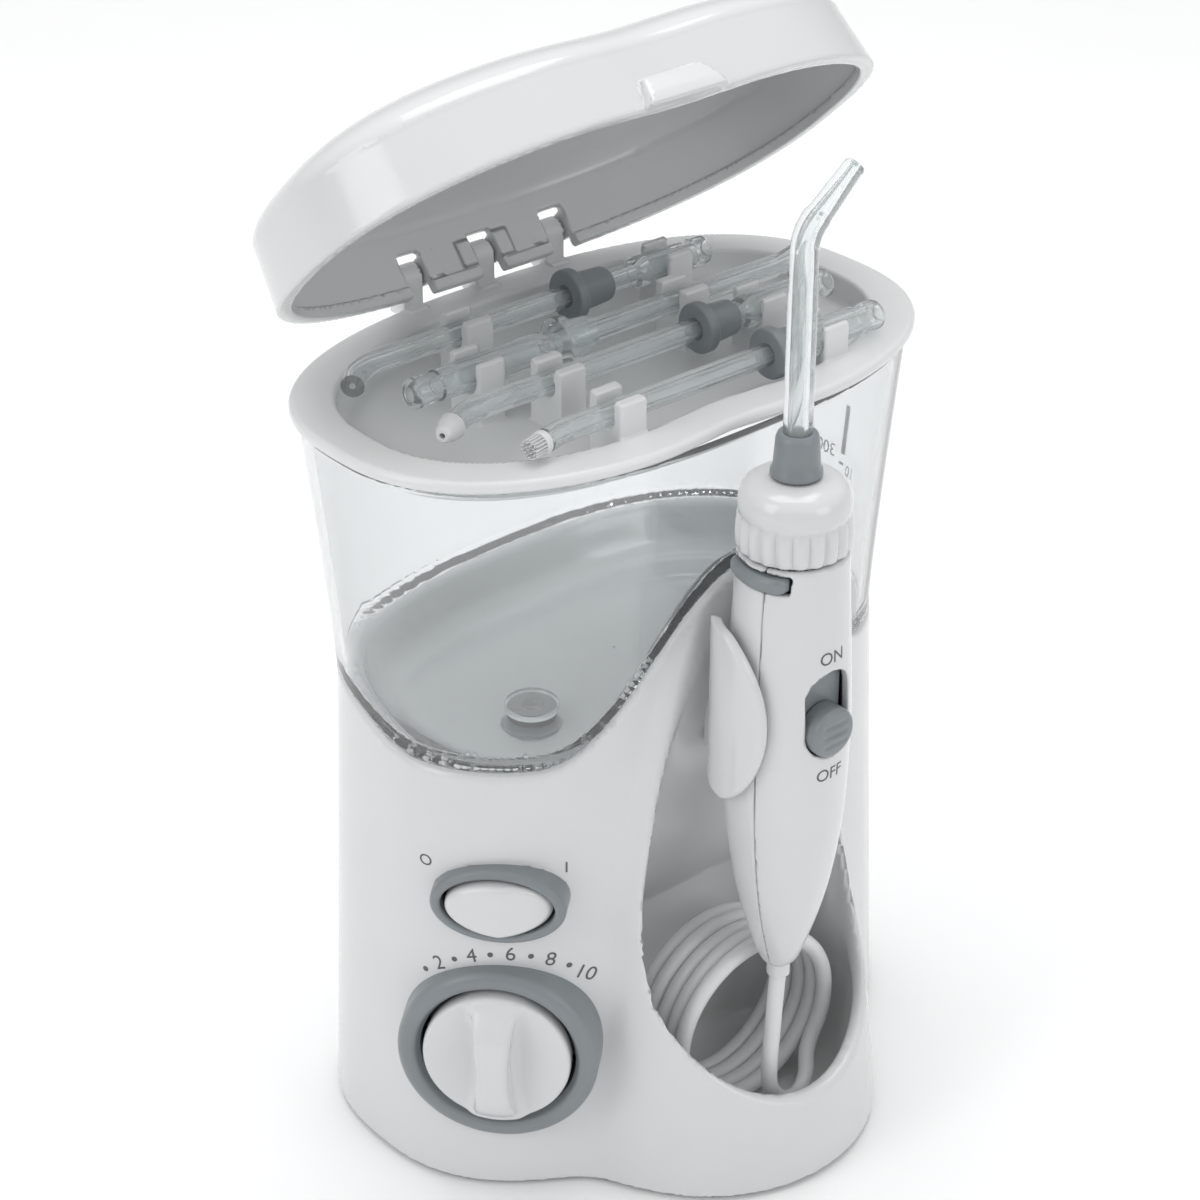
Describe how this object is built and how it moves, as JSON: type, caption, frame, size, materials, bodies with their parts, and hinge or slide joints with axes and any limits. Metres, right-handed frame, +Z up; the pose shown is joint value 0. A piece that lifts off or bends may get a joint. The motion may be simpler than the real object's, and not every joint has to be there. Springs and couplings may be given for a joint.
{
  "type": "water flosser",
  "caption": "Countertop water flosser: pump base, clear water tank, tip tray with hinged lid, and a handset on a coiled hose.",
  "frame": {"origin": "middle of the object's box in plan, on the surface that its feet stand on", "axes": "+Z up, the front with the handset faces -Y, +X to the right seen from the front"},
  "size_m": [0.1402, 0.1197, 0.2422],
  "materials": {
    "shell_white": "glossy moulded ABS, neutral white",
    "accent_grey": "satin moulded plastic, cool mid grey",
    "clear_plastic": "clear polished moulded plastic",
    "steel": "plain steel",
    "black_rubber": "matt rubber",
    "hose_white": "satin white flexible tubing",
    "natural_plastic": "natural acetal",
    "circuit_board": "green coated board",
    "black_plastic": "black moulded switch body"
  },
  "bodies": {
    "base": {"base_housing": "shell_white", "bottom_plate": "shell_white", "feet": "black_rubber", "base_screws": "steel", "power_gland": "accent_grey", "holder_bracket": "shell_white", "holder_cradle": "shell_white", "knob_bezel": "accent_grey", "regulator_body": "accent_grey", "rocker_bezel": "accent_grey", "switch_body": "black_plastic", "motor": "steel", "motor_bracket": "steel", "gear_axle": "steel", "pump_body": "steel", "pump_head": "accent_grey", "inlet_port": "accent_grey", "inlet_tube": "clear_plastic", "outlet_tube": "clear_plastic", "hose_fitting": "accent_grey", "circuit_board": "circuit_board", "hose_drop": "hose_white", "hose_coil": "hose_white", "hose_tail": "hose_white"},
    "pressure_knob": {"knob": "shell_white"},
    "power_rocker": {"rocker": "shell_white"},
    "motor_rotor": {"motor_pinion": "steel"},
    "gear": {"drive_gear": "natural_plastic"},
    "rod": {"connecting_rod": "natural_plastic"},
    "pump_piston": {"piston": "accent_grey"},
    "water_tank": {"tank": "clear_plastic"},
    "valve": {"tank_valve": "clear_plastic", "valve_seal": "black_rubber"},
    "tip_tray": {"tray": "shell_white", "hinge_pins": "steel"},
    "tank_lid": {"lid": "shell_white"},
    "stored_tip_a": {"tip_a_tube": "clear_plastic", "tip_a_collar": "accent_grey"},
    "stored_tip_b": {"tip_b_tube": "clear_plastic", "tip_b_collar": "clear_plastic"},
    "stored_tip_c": {"tip_c_tube": "clear_plastic", "tip_c_collar": "accent_grey", "tip_c_nozzle": "shell_white"},
    "stored_tip_d": {"tip_d_tube": "clear_plastic", "tip_d_collar": "accent_grey", "tip_d_brush": "shell_white"},
    "handset": {"handset_front": "shell_white", "handset_back": "shell_white", "eject_spring": "steel", "slider_track": "accent_grey", "hose_boot": "shell_white"},
    "dial": {"dial_collar": "shell_white", "swivel_ring": "accent_grey"},
    "fitted_tip": {"fitted_tip_tube": "clear_plastic", "fitted_tip_skirt": "accent_grey"},
    "tip_eject": {"eject_button": "accent_grey"},
    "pause_button": {"pause_slider": "accent_grey"}
  },
  "joints": [
    {"name": "tank_lift", "type": "slide", "parent": "base", "child": "water_tank", "axis": [0, 0, 1], "range_m": [0, 0.07]},
    {"name": "valve_lift", "type": "slide", "parent": "water_tank", "child": "valve", "axis": [0, 0, 1], "range_m": [0, 0.003], "stiffness_N_per_m": 60},
    {"name": "tray_lift", "type": "slide", "parent": "water_tank", "child": "tip_tray", "axis": [0, 0, 1], "range_m": [0, 0.03]},
    {"name": "lid_hinge", "type": "hinge", "parent": "tip_tray", "child": "tank_lid", "pos_m": [0, 0.0554, 0.178], "axis": [-1, 0, 0], "range_deg": [-43, 52]},
    {"name": "tip_a_lift", "type": "slide", "parent": "tip_tray", "child": "stored_tip_a", "axis": [0, 0, 1], "range_m": [0, 0.02]},
    {"name": "tip_b_lift", "type": "slide", "parent": "tip_tray", "child": "stored_tip_b", "axis": [0, 0, 1], "range_m": [0, 0.02]},
    {"name": "tip_c_lift", "type": "slide", "parent": "tip_tray", "child": "stored_tip_c", "axis": [0, 0, 1], "range_m": [0, 0.02]},
    {"name": "tip_d_lift", "type": "slide", "parent": "tip_tray", "child": "stored_tip_d", "axis": [0, 0, 1], "range_m": [0, 0.02]},
    {"name": "knob_turn", "type": "hinge", "parent": "base", "child": "pressure_knob", "pos_m": [-0.05437, -0.01678, 0.036], "axis": [-0.7431, -0.6691, 0], "range_deg": [-62, 62]},
    {"name": "rocker_tilt", "type": "hinge", "parent": "base", "child": "power_rocker", "pos_m": [-0.0521, -0.01532, 0.073], "axis": [0, 0, 1], "range_deg": [0, 12]},
    {"name": "gear_spin", "type": "hinge", "parent": "base", "child": "gear", "pos_m": [0.0057, -0.0026, 0.04], "axis": [0, 1, 0], "continuous": true},
    {"name": "motor_spin", "type": "hinge", "parent": "base", "child": "motor_rotor", "pos_m": [0.036, -0.0026, 0.04], "axis": [0, 1, 0], "continuous": true},
    {"name": "rod_swing", "type": "hinge", "parent": "gear", "child": "rod", "pos_m": [0.0017, 0.0159, 0.04], "axis": [0, 1, 0], "continuous": true},
    {"name": "piston_stroke", "type": "slide", "parent": "base", "child": "pump_piston", "axis": [1, 0, 0], "range_m": [0, 0.008]},
    {"name": "handset_release", "type": "slide", "parent": "base", "child": "handset", "axis": [0.2, -0.9798, 0], "range_m": [0, 0.03]},
    {"name": "dial_turn", "type": "hinge", "parent": "handset", "child": "dial", "pos_m": [0, -0.0441, 0.158], "axis": [0, 0, 1], "continuous": true},
    {"name": "tip_pull", "type": "slide", "parent": "dial", "child": "fitted_tip", "axis": [0, 0, 1], "range_m": [0, 0.045]},
    {"name": "eject_press", "type": "slide", "parent": "handset", "child": "tip_eject", "axis": [1, 0, 0], "range_m": [0, 0.0015], "stiffness_N_per_m": 300},
    {"name": "pause_slide", "type": "slide", "parent": "handset", "child": "pause_button", "axis": [0, 0, 1], "range_m": [0, 0.008]}
  ],
  "couplings": [
    {"joint": "motor_spin", "follows": "gear_spin", "ratio": -4},
    {"joint": "rod_swing", "follows": "gear_spin", "ratio": -1}
  ]
}
